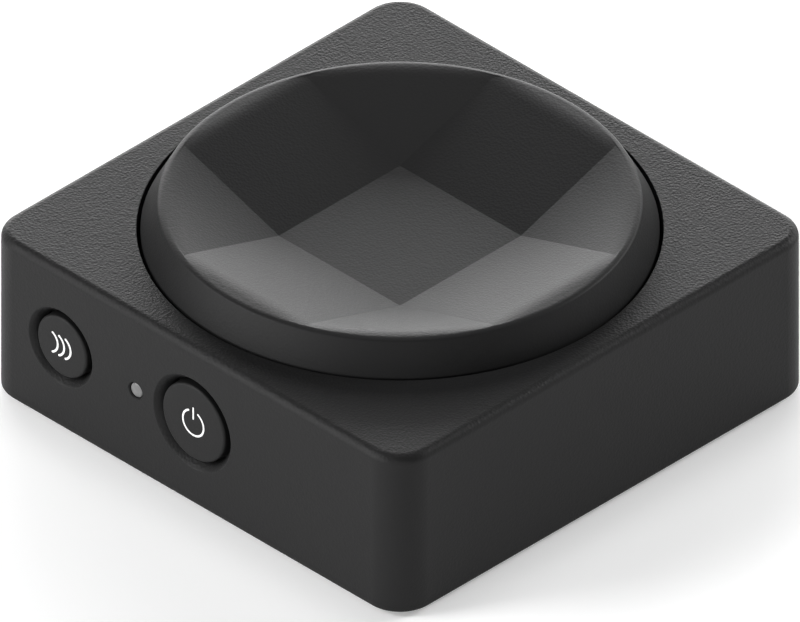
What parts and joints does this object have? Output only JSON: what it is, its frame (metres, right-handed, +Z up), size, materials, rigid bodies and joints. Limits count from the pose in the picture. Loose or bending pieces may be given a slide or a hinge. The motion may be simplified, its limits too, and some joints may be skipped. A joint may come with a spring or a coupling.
{
  "type": "eight-way dish button",
  "caption": "Rounded-square matt black puck with a tilting faceted round dish on top and two round buttons and a small light window on one side.",
  "frame": {"origin": "on the supporting surface, under the middle of the foot pad", "axes": "+Z up out of the dish, -Y out of the face with the two buttons, +Y out of the charging port"},
  "size_m": [0.06, 0.06, 0.0234],
  "materials": {
    "housing_plastic": "fine moulded grain, matt black",
    "dish_plastic": "fine moulded grain, matt black",
    "button_plastic": "smooth matt black",
    "inner_plastic": "moulded black",
    "pad_rubber": "non-slip black",
    "window_plastic": "frosted grey light window",
    "nylon_plastic": "natural nylon",
    "chip_plastic": "black epoxy",
    "circuit_board": "green solder mask on glass-epoxy",
    "battery_wrap": "grey pouch film",
    "lead_sleeve": "red insulated lead",
    "silicone": "translucent grey silicone",
    "screw_steel": "zinc-plated steel",
    "pin_steel": "ground steel pins",
    "port_steel": "stamped steel shell"
  },
  "bodies": {
    "housing": {"upper_housing": "housing_plastic", "bottom_cover": "housing_plastic", "foot_pad": "pad_rubber", "housing_screw_1": "screw_steel", "housing_screw_2": "screw_steel", "housing_screw_3": "screw_steel", "housing_screw_4": "screw_steel", "frame_screw_1": "screw_steel", "frame_screw_2": "screw_steel", "frame_screw_3": "screw_steel", "frame_screw_4": "screw_steel", "pivot_frame": "inner_plastic", "frame_pin_left": "pin_steel", "frame_pin_right": "pin_steel", "switch_board": "circuit_board", "dome_mat": "silicone", "board_header": "chip_plastic", "main_board": "circuit_board", "radio_module": "port_steel", "controller_chip": "chip_plastic", "battery_cell": "battery_wrap", "battery_lead": "lead_sleeve", "battery_connector": "nylon_plastic", "port_shell": "port_steel", "port_tongue": "chip_plastic", "power_switch": "chip_plastic", "pairing_switch": "chip_plastic", "light_pipe": "window_plastic", "status_led": "nylon_plastic"},
    "gimbal": {"gimbal_ring": "inner_plastic", "rocker_pin_front": "pin_steel", "rocker_pin_back": "pin_steel"},
    "rocker": {"rocker_plate": "inner_plastic", "dish_topper": "dish_plastic"},
    "power_button": {"power_button": "button_plastic"},
    "pairing_button": {"pairing_button": "button_plastic"},
    "power_plunger": {"power_switch_plunger": "nylon_plastic"},
    "pairing_plunger": {"pairing_switch_plunger": "nylon_plastic"}
  },
  "joints": [
    {"name": "tilt_forward_back", "type": "hinge", "parent": "housing", "child": "gimbal", "pos_m": [0, 0, 0.0143], "axis": [1, 0, 0], "range_deg": [-2.5, 2.5], "stiffness_Nm_per_rad": 0.8, "deforming": ["dome_mat"]},
    {"name": "tilt_left_right", "type": "hinge", "parent": "gimbal", "child": "rocker", "pos_m": [0, 0, 0.0143], "axis": [0, 1, 0], "range_deg": [-2.5, 2.5], "stiffness_Nm_per_rad": 0.8},
    {"name": "power_press", "type": "slide", "parent": "housing", "child": "power_button", "axis": [0, 1, 0], "range_m": [0, 0.0004], "stiffness_N_per_m": 4000},
    {"name": "pairing_press", "type": "slide", "parent": "housing", "child": "pairing_button", "axis": [0, 1, 0], "range_m": [0, 0.0004], "stiffness_N_per_m": 4000},
    {"name": "power_switch_press", "type": "slide", "parent": "housing", "child": "power_plunger", "axis": [0, 1, 0], "range_m": [0, 0.0004]},
    {"name": "pairing_switch_press", "type": "slide", "parent": "housing", "child": "pairing_plunger", "axis": [0, 1, 0], "range_m": [0, 0.0004]}
  ],
  "couplings": [
    {"joint": "power_switch_press", "follows": "power_press", "ratio": 1},
    {"joint": "pairing_switch_press", "follows": "pairing_press", "ratio": 1}
  ]
}
